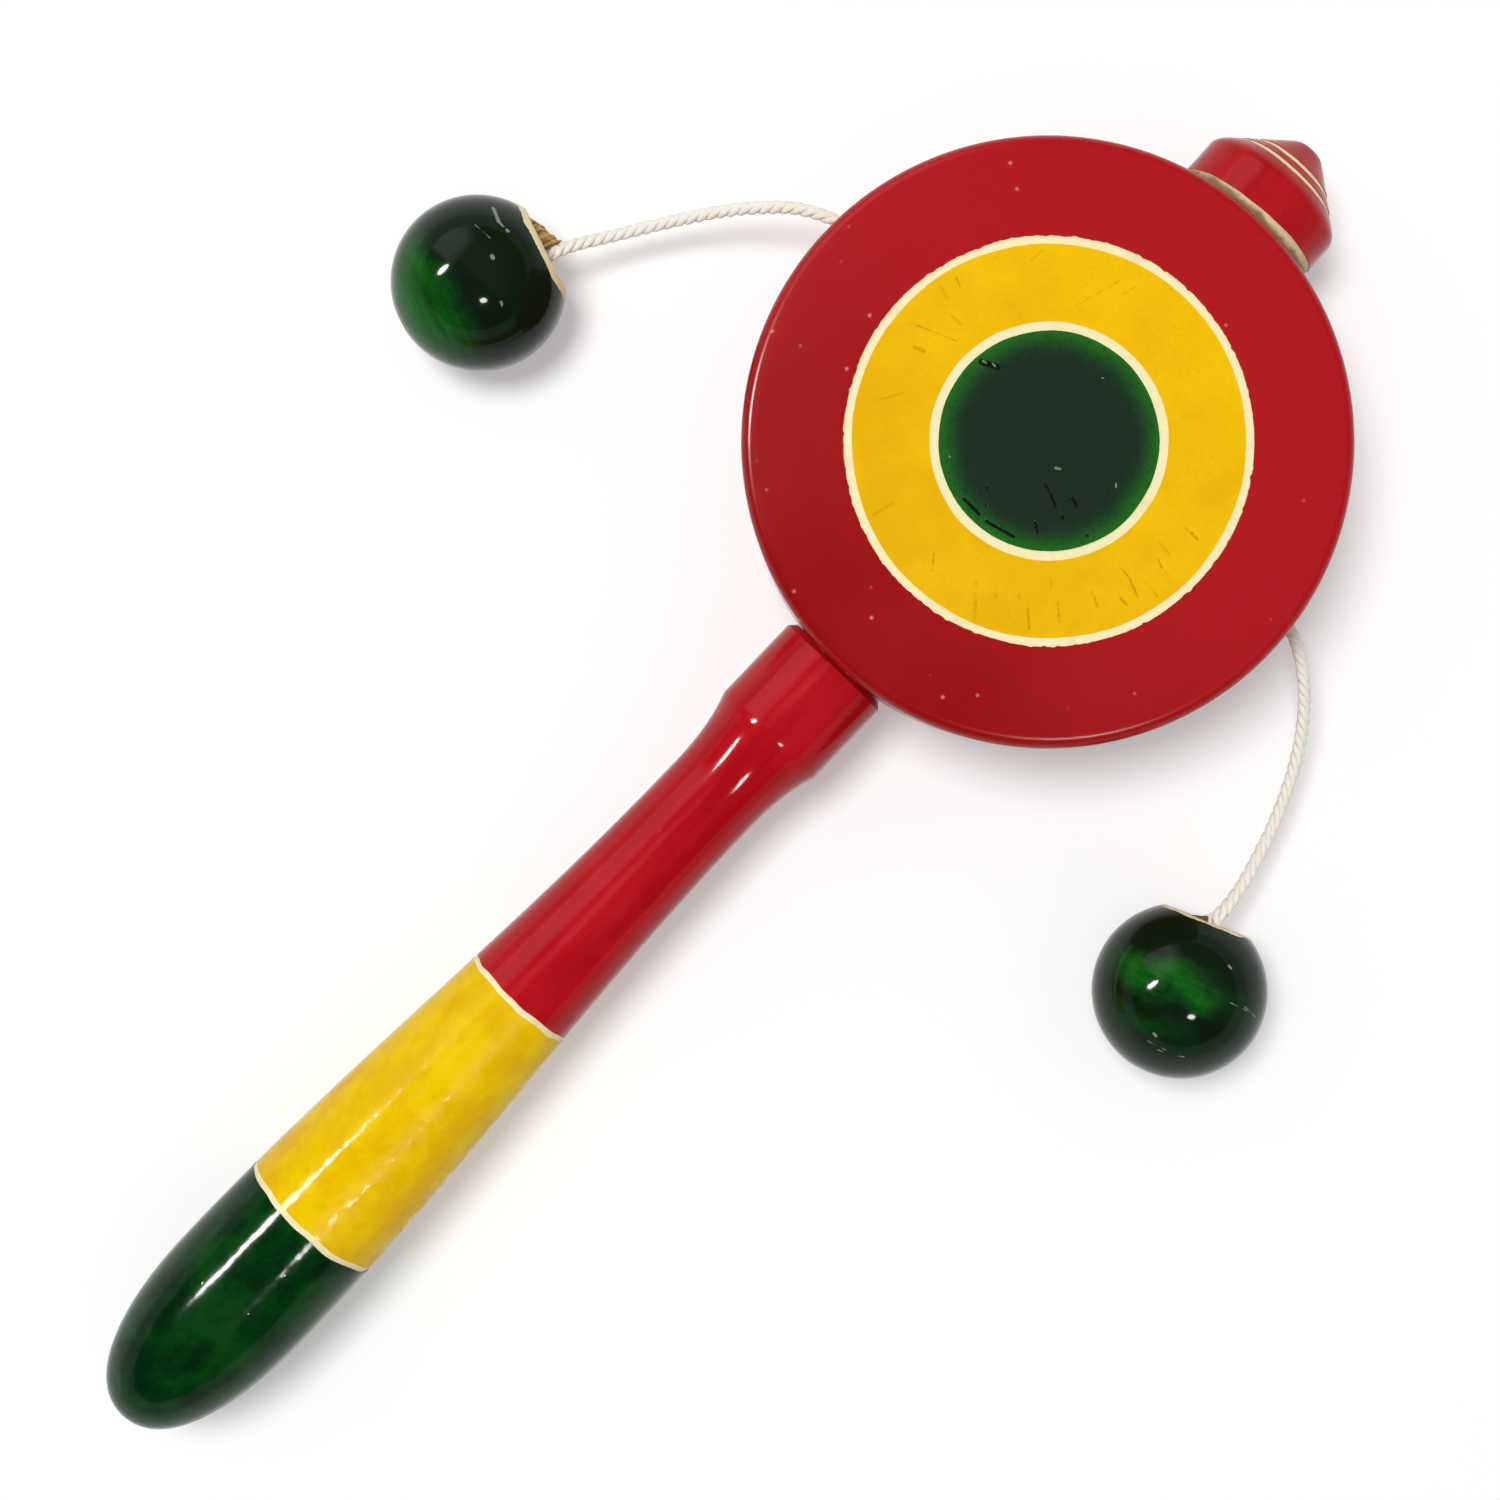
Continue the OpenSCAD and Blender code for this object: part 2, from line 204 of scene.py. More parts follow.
RING_TICKS = [
    ((1129, 577), (1139, 600), 0.00035), ((1121, 568), (1129, 577), 0.00025),
    ((1092, 592), (1098, 608), 0.0004), ((1058, 603), (1059, 622), 0.0003),
    ((1028, 608), (1029, 629), 0.0003), ((1009, 609), (1010, 618), 0.0003),
    ((934, 554), (932, 571), 0.0003), ((1121, 598), (1127, 605), 0.0005),
    ((1150, 586), (1157, 596), 0.0003), ((1158, 559), (1162, 568), 0.0003),
    ((1165, 571), (1171, 582), 0.0003), ((1192, 533), (1197, 539), 0.0004),
    ((911, 323), (957, 341), 0.0002), ((915, 347), (924, 351), 0.0006), ((956, 277), (960, 287), 0.0003),
]
RING_SMUDGES = [
    ((977, 582), (974, 623), 0.0005), ((995, 594), (996, 596), 0.0006),
    ((1019, 595), (1019, 598), 0.0006), ((1050, 577), (1051, 587), 0.0004),
    ((1159, 542), (1169, 554), 0.0004), ((941, 287), (948, 300), 0.0004),
    ((952, 316), (960, 324), 0.0005), ((1024, 266), (1043, 250), 0.0003),
    ((1075, 306), (1119, 281), 0.0003), ((1123, 294), (1135, 287), 0.0003),
    ((879, 400), (903, 393), 0.0004), ((874, 515), (893, 503), 0.0005),
    ((1203, 454), (1214, 458), 0.0003), ((1185, 527), (1198, 540), 0.0003),
    ((1197, 369), (1198, 371), 0.0005),
]
LEFT_BEAD_CHIPS = [
    ((493, 208), (499, 222), 0.0006), ((499, 222), (503, 226), 0.0004), ((492, 256), (493, 258), 0.0006),
    ((507, 230), (508, 231), 0.0005), ((475, 225), (490, 238), 0.00015), ((501, 302), (502, 305), 0.0004),
]
RIGHT_BEAD_CHIPS = [
    ((1245, 1007), (1255, 1017), 0.0002), ((1231, 1003), (1247, 1011), 0.0002),
    ((1158, 1050), (1184, 1057), 0.0002), ((1148, 1041), (1166, 1050), 0.00015),
    ((1229, 966), (1231, 968), 0.0004), ((1154, 1034), (1156, 1036), 0.0005),
]
# Brighter places of the pellets, painted light: their middles by pixels, and their sizes in metres
LEFT_GLOW = (425, 300)
RIGHT_GLOW = (1166, 980)
GLOW_CORE_R = 0.004
LEFT_GLOW_R = 0.0115
RIGHT_GLOW_R = 0.0085


# Camera

CAMERA_AT = Vector((0, -0.0392, 0.338))
CAMERA_TURN = math.radians(43.56)
PHOTO_SIDE = 1500
PHOTO_AXIS = (811, 691)
LENS = 65.5
SENSOR = 36
IMAGE_RIGHT = Vector((math.cos(CAMERA_TURN), math.sin(CAMERA_TURN), 0))
IMAGE_DOWN = Vector((math.sin(CAMERA_TURN), -math.cos(CAMERA_TURN), 0))


def make_camera():
    """A camera straight above the rattle, framed as the photograph is."""
    data = bpy.data.cameras.new("camera")
    data.lens = LENS
    data.sensor_width = SENSOR
    data.shift_x = 0.5 - PHOTO_AXIS[0] / PHOTO_SIDE
    data.shift_y = PHOTO_AXIS[1] / PHOTO_SIDE - 0.5
    data.clip_start = 0.01
    camera = bpy.data.objects.new("camera", data)
    camera.location = CAMERA_AT
    camera.rotation_euler = (0, 0, CAMERA_TURN)
    bpy.context.scene.collection.objects.link(camera)
    bpy.context.scene.camera = camera


# Materials


class Graph:
    """A shader's nodes, with short calls that add a node and give back what it puts out."""

    def __init__(self, tree):
        self.tree = tree

    def put(self, socket, value):
        if isinstance(value, bpy.types.NodeSocket):
            self.tree.links.new(value, socket)
        else:
            socket.default_value = value

    def add(self, kind, inputs, **settings):
        node = self.tree.nodes.new(kind)
        for name, value in settings.items():
            setattr(node, name, value)
        for key, value in inputs.items():
            self.put(node.inputs[key], value)
        return node

    def split(self, vector):
        return self.add("ShaderNodeSeparateXYZ", {0: vector}).outputs

    def join(self, x, y, z):
        return self.add("ShaderNodeCombineXYZ", {0: x, 1: y, 2: z}).outputs[0]

    def math(self, operation, a, b=0.0, c=0.0):
        return self.add("ShaderNodeMath", {0: a, 1: b, 2: c}, operation=operation).outputs[0]

    def vector(self, operation, *inputs):
        return self.add("ShaderNodeVectorMath", dict(enumerate(inputs)), operation=operation).outputs

    def noise(self, vector, scale, detail=2.0, rough=0.5):
        inputs = {"Vector": vector, "Scale": scale, "Detail": detail, "Roughness": rough}
        return self.add("ShaderNodeTexNoise", inputs).outputs[0]

    def step(self, value, low, high, to_low=0.0, to_high=1.0):
        """Smooth step between two levels of a value."""
        inputs = {0: value, 1: low, 2: high, 3: to_low, 4: to_high}
        return self.add("ShaderNodeMapRange", inputs, interpolation_type="SMOOTHSTEP").outputs[0]

    def mix(self, share, a, b):
        inputs = {0: share, 6: a, 7: b}
        return self.add("ShaderNodeMix", inputs, data_type="RGBA").outputs[2]

    def largest(self, *values):
        """The largest of several values."""
        total = values[0]
        for value in values[1:]:
            total = self.math("MAXIMUM", total, value)
        return total


class Finish(Graph):
    """A material whose nodes end in its one shader."""

    def __init__(self, name, shine=0.5):
        self.material = bpy.data.materials.new(name)
        self.material.use_nodes = True
        super().__init__(self.material.node_tree)
        self.shader = self.tree.nodes["Principled BSDF"]
        self.shader.inputs["Specular IOR Level"].default_value = shine

    def place(self):
        """The point in the piece's own frame, whose Z is the axis that it was turned on."""
        return self.add("ShaderNodeTexCoord", {}).outputs["Object"]

    def radius(self, at):
        x, y, _ = self.split(at)
        return self.math("SQRT", self.math("MULTIPLY_ADD", x, x, self.math("MULTIPLY", y, y)))

    def off_line(self, at, start, end):
        """Distance from the straight line between two points."""
        way = Vector(end) - Vector(start)
        off = self.vector("SUBTRACT", at, start)[0]
        share = self.vector("DOT_PRODUCT", off, way / way.length_squared)["Value"]
        share = self.add("ShaderNodeClamp", {0: share}).outputs[0]
        return self.vector("LENGTH", self.vector("MULTIPLY_ADD", -way, share, off)[0])["Value"]

    def marks(self, at, lines):
        """Nicks and scratches: 1 along each line of start, end and width, 0 elsewhere."""
        ragged = self.math("MULTIPLY_ADD", self.noise(at, 2500, 2), 0.0004, -0.0002)
        found = [0.0]
        for start, end, width in lines:
            off = self.math("MULTIPLY_ADD", ragged, width / 0.0009, self.off_line(at, start, end))
            found.append(self.step(off, width / 2, width / 4))
        return self.largest(*found)

    def nibs(self, at, spacing, size):
        """Dust specks in the lacquer: 1 in a few small round spots, 0 elsewhere."""
        cells = self.add("ShaderNodeTexVoronoi", {"Vector": at, "Scale": 1 / spacing})
        kept = self.step(self.split(cells.outputs["Color"])[0], 0.5, 0.51)
        return self.math("MULTIPLY", kept, self.step(cells.outputs["Distance"], size / spacing, 0))

    def finish(self, colour, roughness, height=None, depth=0.0):
        """Sets the shader's colour, roughness and a relief of the given depth."""
        self.put(self.shader.inputs["Base Color"], colour)
        self.put(self.shader.inputs["Roughness"], roughness)
        if height is not None:
            inputs = {"Height": height, "Strength": RELIEF, "Distance": depth}
            self.put(self.shader.inputs["Normal"], self.add("ShaderNodeBump", inputs).outputs[0])
        return self.material


def colour(red, green, blue):
    return (red, green, blue, 1)


def photo_ray(pixel):
    """The way from the camera to what a pixel of the photograph shows, for one metre down."""
    right, down = ((p - axis) * SENSOR / (LENS * PHOTO_SIDE) for p, axis in zip(pixel, PHOTO_AXIS))
    return IMAGE_RIGHT * right + IMAGE_DOWN * down - Vector((0, 0, 1))


def face_point(pixel):
    """The point of the front face at a pixel, in the head's own frame."""
    point = CAMERA_AT + photo_ray(pixel) * (CAMERA_AT.z - DRUM_T)
    return front_place().inverted() @ point


def ball_point(pixel, bead, turn):
    """The point of a pellet's ball at a pixel, in the pellet's own frame."""
    _, point = intersect_line_sphere(CAMERA_AT, CAMERA_AT + photo_ray(pixel), bead, BEAD_R, False)
    return bead_place(bead, turn).inverted() @ point


def face_lines(lines):
    return [(face_point(start), face_point(end), width) for start, end, width in lines]


def bead_lines(lines, bead, turn):
    return [
        (ball_point(start, bead, turn), ball_point(end, bead, turn), width)
        for start, end, width in lines
    ]


def face_red():
    """Satin red with painted shade, deeper towards the handle, with a fine grain in its gloss and a few
    specks that are painted pale as their glints.
    """
    g = Finish("face_red", SATIN)
    at = g.place()
    _, y, _ = g.split(at)
    cloud = g.noise(at, 60, 3)
    # Painted shade: the red darkens towards the handle side
    tone = g.math("MULTIPLY_ADD", g.math("SUBTRACT", cloud, 0.5), 0.03, y)
    fine = g.noise(at, 2200, 2, 0.6)
    specks = g.nibs(at, 0.003, 0.00035)
    base = g.mix(g.step(tone, -0.04, 0.012), colour(0.32, 0.002, 0.003), colour(0.45, 0.006, 0.009))
    base = g.mix(g.step(fine, 0.5, 0.75, 0, 0.4), base, colour(0.31, 0.002, 0.0035))
    # Dust specks, painted pale as the glints that they catch
    base = g.mix(g.math("MULTIPLY", specks, 0.75), base, colour(0.85, 0.36, 0.30))
    height = g.math("MULTIPLY_ADD", specks, 3.0, g.math("MULTIPLY", fine, 0.3))
    return g.finish(base, g.step(cloud, 0.3, 0.7, 0.2, 0.26), height, 0.00004)


def face_yellow(name, ticks, smudges):
    """Yellow of a face, clouded and with painted shade deeper towards the handle, with short dark ticks and
    faint smudges of the wood below.
    """
    g = Finish(name, DULL)
    at = g.place()
    _, y, _ = g.split(at)
    cloud = g.noise(at, 160, 4, 0.6)
    fine = g.noise(at, 1800, 2)
    grain = g.step(g.noise(at, 900, 3, 0.6), 0.3, 0.6)
    # Painted shade: the yellow darkens towards the handle side
    tone = g.math("MULTIPLY_ADD", y, 7.0, cloud)
    base = g.mix(g.step(tone, 0.2, 0.8), colour(0.84, 0.455, 0.0004), colour(0.955, 0.555, 0.0006))
    base = g.mix(g.step(fine, 0.5, 0.8, 0, 0.3), base, colour(0.76, 0.38, 0.0004))
    faint = g.math("MULTIPLY", g.math("MULTIPLY", g.marks(at, smudges), grain), 0.25)
    base = g.mix(faint, base, colour(0.38, 0.17, 0.001))
    dark = g.math("MULTIPLY", g.math("MULTIPLY", g.marks(at, ticks), grain), 0.45)
    base = g.mix(dark, base, colour(0.28, 0.11, 0.001))
    height = g.math("SUBTRACT", fine, dark)
    return g.finish(base, g.step(cloud, 0.3, 0.7, 0.3, 0.4), height, 0.00003)


def face_green(name, cracks, chips):
    """Green of the middle disc, with a painted reflection of a dark thing above: a dark middle and a bright
    edge.
    """
    g = Finish(name, SATIN)
    at = g.place()
    fine = g.noise(at, 2200, 2, 0.6)
    cloud = g.noise(at, 220, 3)
    # Painted reflection: the disc is bright at its edge and dark in the middle
    edge = g.math("MULTIPLY_ADD", cloud, 0.0014, g.math("SUBTRACT", g.radius(at), 0.0007))
    edge = g.math("POWER", g.step(edge, DISC_R * 0.7, DISC_R * 1.04), 1.8)
    base = g.mix(edge, colour(0.0065, 0.025, 0.0115), colour(0.012, 0.15, 0.008))
    base = g.mix(g.step(fine, 0.5, 0.75, 0, 0.5), base, colour(0.002, 0.010, 0.004))
    # Chips and nibs, painted pale as their glints
    sunk, glinting_bumps = g.marks(at, cracks), g.largest(g.marks(at, chips), g.nibs(at, 0.004, 0.00015))
    base = g.mix(sunk, base, colour(0.001, 0.0025, 0.001))
    base = g.mix(g.math("MULTIPLY", glinting_bumps, 0.6), base, colour(0.25, 0.38, 0.26))
    height = g.math("MULTIPLY_ADD", g.math("SUBTRACT", glinting_bumps, sunk), 3.0, g.math("MULTIPLY", fine, 0.3))
    return g.finish(base, 0.28, height, 0.00004)


def bare_wood():
    """Pale bare wood that shows where the lacquer is cut through."""
    g = Finish("bare_wood")
    at = g.place()
    fibre = g.noise(at, 2200, 3, 0.6)
    cloud = g.noise(at, 250, 2)
    base = g.mix(fibre, colour(0.90, 0.76, 0.38), colour(1.0, 0.95, 0.60))
    base = g.mix(g.step(cloud, 0.55, 0.75, 0, 0.3), base, colour(0.76, 0.60, 0.26))
    return g.finish(base, 0.6, fibre, 0.00004)


def shaded_foot_wood():
    """Bare wood of the finial's foot, with painted shade: darker brown near the drum."""
    g = Finish("shaded_foot_wood")
    at = g.place()
    _, _, z = g.split(at)
    fibre = g.noise(g.vector("MULTIPLY", at, (1500, 1500, 500))[0], 1, 3, 0.6)
    # Painted shade: darker brown near the drum, where the foot meets it
    low = g.math("MULTIPLY_ADD", g.noise(at, 500, 3), -0.0016, g.math("ADD", z, 0.0008))
    base = g.mix(fibre, colour(0.68, 0.49, 0.24), colour(0.90, 0.74, 0.46))
    base = g.mix(g.step(low, 0.0022, 0.0014, 0, 0.85), base, colour(0.15, 0.075, 0.02))
    return g.finish(base, 0.65, fibre, 0.00005)


def gloss_lacquer(name, dark, light, grain, gloss, peel, shine=GLOSS, worn=0.0):
    """Glossy lacquer over grain, with a soft ripple, a finer peel and perhaps a side that is worn dull."""
    g = Finish(name, shine)
    at = g.place()
    streak = g.noise(g.vector("MULTIPLY", at, grain)[0], 1, 3, 0.55)
    cloud = g.noise(at, 90, 3)
    fine = g.noise(at, 1800, 2)
    specks = g.nibs(at, 0.0035, 0.0003)
    tone = g.math("MULTIPLY_ADD", streak, 0.6, g.math("MULTIPLY", cloud, 0.4))
    tone = g.math("MULTIPLY_ADD", g.math("SUBTRACT", fine, 0.5), 0.15, tone)
    base = g.mix(g.step(tone, 0.36, 0.64), dark, light)
    height = g.math("MULTIPLY_ADD", specks, 0.6, g.noise(at, 260, 2))
    height = g.math("MULTIPLY_ADD", g.noise(at, 750, 1), peel, height)
    rough = g.step(cloud, 0.3, 0.7, gloss, gloss * 1.5)
    if worn:
        x, _, _ = g.split(at)
        side = g.step(g.math("DIVIDE", x, g.radius(at)), 0.0, 0.1)
        dull = g.math("MULTIPLY", side, g.step(g.noise(at, 480, 2), 0.6, 0.5))
        rough = g.math("MULTIPLY_ADD", dull, worn, rough)
    return g.finish(base, rough, height, 0.00012)


def pellet_green(name, zones, glow, reach, chips):
    """Deep green of a pellet, brighter in zones square to its axis and near one place, partly its own tone
    and partly painted sheen, with small chips.
    """
    g = Finish(name, GLOSS)
    at = g.place()
    _, _, z = g.split(at)
    cloud = g.noise(at, 190, 4, 0.6)
    marks = g.noise(g.vector("MULTIPLY", at, (90, 90, 1600))[0], 1, 3, 0.6)
    fine = g.noise(at, 2600, 2, 0.6)
    bright = []
    for middle, half, share in zones:
        off = g.math("MULTIPLY_ADD", cloud, 0.008, g.math("SUBTRACT", z, middle + 0.004))
        bright.append(g.step(g.math("ABSOLUTE", off), half, 0, 0, share))
    tone = g.math("MULTIPLY", g.largest(*bright), g.step(marks, 0.25, 0.7, 0.45, 1))
    tone = g.math("MULTIPLY", tone, g.step(fine, 0.3, 0.6, 0.7, 1))
    # Painted light: brighter round one place of the ball
    off = g.vector("DISTANCE", at, glow)["Value"]
    tone = g.math("MULTIPLY", tone, g.step(off, reach, GLOW_CORE_R, 0.2, 1))
    base = g.mix(tone, colour(0.004, 0.014, 0.005), colour(0.005, 0.145, 0.008))
    chipped = g.marks(at, chips)
    base = g.mix(g.math("MULTIPLY", chipped, 0.55), base, colour(0.42, 0.46, 0.36))
    height = g.math("MULTIPLY_ADD", chipped, -0.5, g.noise(at, 240, 2))
    height = g.math("MULTIPLY_ADD", fine, 0.04, height)
    return g.finish(base, g.step(cloud, 0.3, 0.7, 0.07, 0.13), height, 0.00012)


def peg_wood(name, dark, light):
    """Split brown wood of a peg."""
    g = Finish(name, SATIN)
    at = g.place()
    fibre = g.noise(g.vector("MULTIPLY", at, (3000, 3000, 600))[0], 1, 3, 0.55)
    base = g.mix(g.step(fibre, 0.35, 0.65), dark, light)
    return g.finish(base, 0.7, fibre, 0.0002)


def dark_hole():
    """Raw wood in the shade of a drilled hole."""
    g = Finish("dark_hole")
    fibre = g.noise(g.place(), 1800, 3)
    base = g.mix(fibre, colour(0.02, 0.015, 0.008), colour(0.06, 0.045, 0.02))
    return g.finish(base, 0.8, fibre, 0.0001)


def cotton():
    """Off-white cotton whose fibres wind round each ply."""
    g = Finish("cotton", SATIN)
    uv = g.add("ShaderNodeUVMap", {}, uv_map="ply").outputs[0]
    along, around, _ = g.split(uv)
    wound = g.math("MULTIPLY_ADD", along, 1 / FIBRE_LAY, around)
    fibre = g.noise(g.join(g.math("MULTIPLY", along, 500), g.math("MULTIPLY", wound, 11), 0), 1, 3, 0.6)
    tone = g.noise(g.place(), 300, 2)
    base = g.mix(fibre, colour(0.90, 0.88, 0.75), colour(0.97, 0.96, 0.89))
    base = g.mix(g.step(tone, 0.45, 0.7, 0, 0.3), base, colour(0.92, 0.86, 0.68))
    g.shader.inputs["Sheen Weight"].default_value = 0.2
    return g.finish(base, 0.85, fibre, 0.0001)


# Strings


def hole_point(side, angle, r):
    """A point on the line of a string's hole in the rim."""
    return Vector((side * r * math.cos(angle), r * math.sin(angle), MID_Z))


def string_point(bead, turn, height):
    """A point on a string's line in its pellet, at a height above the pellet's middle."""
    across = Vector((math.cos(turn), math.sin(turn), 0))
    up = Vector((-math.sin(turn), math.cos(turn), 0))
    return bead + across * STRING_OFF + up * height


def route(side, angle, free, bead, turn):
    """A string's points, from inside the rim to its end in the pellet."""
    start = [hole_point(side, angle, DRUM_R - RIM_WALL), hole_point(side, angle, DRUM_R)]
    end = [string_point(bead, turn, BEAD_FLAT_Z), string_point(bead, turn, BEAD_FLAT_Z - STRING_GRIP)]
    return np.array([*start, *free, *end], float)


def smooth_line(points, step):
    """Points a step apart on a smooth curve through the given points."""
    padded = np.vstack([2 * points[0] - points[1], points, 2 * points[-1] - points[-2]])
    fine = []
    for a, b, c, d in zip(padded, padded[1:], padded[2:], padded[3:]):
        for t in np.linspace(0, 1, CURVE_STEPS, endpoint=False):
            curve = 2 * b + (c - a) * t + (2 * a - 5 * b + 4 * c - d) * t**2
            fine.append((curve + (3 * b - a - 3 * c + d) * t**3) / 2)
    fine = np.array([*fine, points[-1]])
    lengths = np.concatenate([[0], np.cumsum(np.linalg.norm(np.diff(fine, axis=0), axis=1))])
    wanted = np.linspace(0, lengths[-1], round(lengths[-1] / step) + 1)
    return np.stack([np.interp(wanted, lengths, fine[:, k]) for k in range(3)], axis=1), wanted


def unit(vectors):
    return vectors / np.linalg.norm(vectors, axis=-1, keepdims=True)


def tube_frames(line):
    """Two directions square to a line at each of its points, which don't twist along it."""
    ahead = unit(np.gradient(line, axis=0))
    across = [unit(np.cross(ahead[0], (0.0, 0.0, 1.0)))]
    for direction in ahead[1:]:
        across.append(unit(across[-1] - direction * np.dot(across[-1], direction)))
    across = np.array(across)
    return across, np.cross(ahead, across)


def ply_rings(line, lengths, start_angle, winding_r):
    """Corners of one ply that winds round a string's middle line, ring by ring."""
    across, up = tube_frames(line)
    wind = (start_angle - 2 * math.pi * lengths / LAY)[:, None]
    middle = line + winding_r[:, None] * (np.cos(wind) * across + np.sin(wind) * up)
    across, up = tube_frames(middle)
    turns = np.linspace(0, 2 * math.pi, PLY_SIDES, endpoint=False)
    ring = np.cos(turns)[None, :, None] * across[:, None] + np.sin(turns)[None, :, None] * up[:, None]
    return middle[:, None] + PLY_R * ring


def tube_faces(rings, sides, first):
    """Faces of a closed tube of rings, whose corners count from first."""
    faces = []
    for i in range(rings - 1):
        for k in range(sides):
            a, b = first + i * sides + k, first + i * sides + (k + 1) % sides
            faces.append((a, b, b + sides, a + sides))
    last = first + (rings - 1) * sides
    faces.append(tuple(first + k for k in reversed(range(sides))))
    faces.append(tuple(last + k for k in range(sides)))
    return faces


def make_string(node, points, opening, material):
    """A twisted string along the given points, from the drum to its pellet."""
    line, lengths = smooth_line(points, STRING_STEP)
    mouth = lengths[-1] - STRING_GRIP
    near_mouth = np.clip(1 - np.abs(lengths - mouth) / MOUTH_REACH, 0, 1)
    winding_r = PLY_OFF * (1 + opening * near_mouth**2)
    corners, faces, places = [], [], []
    for ply in range(PLIES):
        rings = ply_rings(line, lengths, 2 * math.pi * ply / PLIES, winding_r)
        faces += tube_faces(len(line), PLY_SIDES, len(corners) * len(line) * PLY_SIDES)
        corners.append(rings.reshape(-1, 3))
        around = np.tile(np.arange(PLY_SIDES) / PLY_SIDES, len(line))
        places.append(np.stack([np.repeat(lengths, PLY_SIDES), around], axis=1))
    name = f"{node}_twisted"
    mesh = bpy.data.meshes.new(name)
    mesh.from_pydata(np.vstack(corners).tolist(), [], faces)
    mesh.shade_smooth()
    layer = mesh.uv_layers.new(name="ply")
    corner_of = np.empty(len(mesh.loops), np.int32)
    mesh.loops.foreach_get("vertex_index", corner_of)
    flat = unwrap_seam(np.vstack(places)[corner_of], mesh)
    layer.uv.foreach_set("vector", flat.astype(np.float32).ravel())
    mesh.materials.append(material)
    piece = bpy.data.objects.new(name, mesh)
    bpy.context.scene.collection.objects.link(piece)
    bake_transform(piece)
    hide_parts(node)


def unwrap_seam(flat, mesh):
    """Places on the last strip round a ply run on past 1, so that no face spans the whole turn."""
    for face in mesh.polygons:
        loops = slice(face.loop_start, face.loop_start + face.loop_total)
        around = flat[loops, 1]
        if face.loop_total == 4 and around.max() - around.min() > 0.5:
            flat[loops, 1] = np.where(around < 0.5, around + 1, around)
    return flat


# Turned wood

Band = namedtuple("Band", "material points sunk edge_in edge_out", defaults=(0.0, None, None))
Edge = namedtuple("Edge", "wave rag seed lean", defaults=(0.0,))


def wander(edge, angles):
    """How far a hand-cut edge strays along the outline at each angle."""
    if edge is None:
        return np.zeros(len(angles))
    strays = []
    for angle in angles:
        at = Vector((math.cos(angle), math.sin(angle), edge.seed))
        nick = noise.noise(at * 28) + 0.7 * noise.noise(at * 61)
        stray = edge.lean * math.cos(angle) + edge.wave * noise.noise(at * 3.1)
        strays.append(stray + edge.rag * nick * abs(nick))
    return np.array(strays)


def band_rows(band):
    """A band's points, sunk if it is cut below the lacquer, their tangents and their shares of the way."""
    points = np.array(band.points, float)
    tangents = unit(np.gradient(points, axis=0))
    outward = np.stack([tangents[:, 1], -tangents[:, 0]], axis=1)
    run = np.concatenate([[0], np.cumsum(np.linalg.norm(np.diff(points, axis=0), axis=1))])
    return points - outward * band.sunk, tangents, run / run[-1]


def turned_rings(bands, names, angles):
    """Rings of corners along the bands, and the material of the strip that follows each ring."""
    cos, sin = np.cos(angles), np.sin(angles)
    rings, strips = [], []
    for before, band in zip([None, *bands], bands):
        points, tangents, share = band_rows(band)
        stray_in, stray_out = wander(band.edge_in, angles), wander(band.edge_out, angles)
        if before:
            strips[-1] = names.index(before.material if before.sunk < band.sunk else band.material)
        for point, tangent, t in zip(points, tangents, share):
            stray = (1 - t) * stray_in + t * stray_out
            r, z = point[0] + tangent[0] * stray, point[1] + tangent[1] * stray
            rings.append(np.stack([r * cos, r * sin, z], axis=1))
            strips.append(names.index(band.material))
    return rings, strips


def turned_faces(rows, sides):
    """Faces between rings of corners, closed round two last corners that lie on the axis."""
    faces = []
    for i in range(rows - 1):
        for k in range(sides):
            a, b = i * sides + k, i * sides + (k + 1) % sides
            faces.append((a, b, b + sides, a + sides))
    for k in range(sides):
        n = (k + 1) % sides
        faces.append((rows * sides, n, k))
        faces.append((rows * sides + 1, (rows - 1) * sides + k, (rows - 1) * sides + n))
    return faces


def add_piece(name, mesh, place, body, node):
    """Puts a mesh that is made in its own frame on a body, for a node of the part."""
    piece = bpy.data.objects.new(name, mesh)
    piece.matrix_world = place
    bpy.context.scene.collection.objects.link(piece)
    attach(piece, body)
    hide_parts(node)


def make_turned(name, bands, place, sides, materials, body, node):
    """A turned piece: bands of (radius, height) points round the Z axis of its own frame."""
    names = list(dict.fromkeys(band.material for band in bands))
    rings, strips = turned_rings(bands, names, np.linspace(0, 2 * math.pi, sides, endpoint=False))
    ends = [(0, 0, float(ring[:, 2].mean())) for ring in (rings[0], rings[-1])]
    mesh = bpy.data.meshes.new(name)
    mesh.from_pydata(np.vstack(rings).tolist() + ends, [], turned_faces(len(rings), sides))
    for material in names:
        mesh.materials.append(materials[material])
    slots = np.repeat(strips[:-1], sides).tolist() + [strips[0], strips[-1]] * sides
    mesh.polygons.foreach_set("material_index", slots)
    mesh.shade_smooth()
    mesh.set_sharp_from_angle(angle=SHARP)
    add_piece(name, mesh, place, body, node)


def spread(start, end, step):
    """Even values from start to end, about a step apart."""
    return np.linspace(start, end, max(2, round(abs(end - start) / step) + 1))


def ease(t):
    return (1 - math.cos(math.pi * t)) / 2


def handle_radius(x):
    """Radius of the handle at a distance from its seat."""
    if x < COLLAR_BEVEL:
        return COLLAR_R - COLLAR_BEVEL + x
    if x < COLLAR_LEN:
        return COLLAR_R
    if x < WAIST_AT:
        return COLLAR_R + (WAIST_R - COLLAR_R) * ease(math.sqrt((x - COLLAR_LEN) / (WAIST_AT - COLLAR_LEN)))
    if x < GRIP_AT:
        return WAIST_R + (GRIP_R - WAIST_R) * ease((x - WAIST_AT) / (GRIP_AT - WAIST_AT))
    left = max(0, 1 - ((x - GRIP_AT) / TIP_LEN) ** TIP_POWER)
    return GRIP_R * left ** (1 / TIP_POWER)


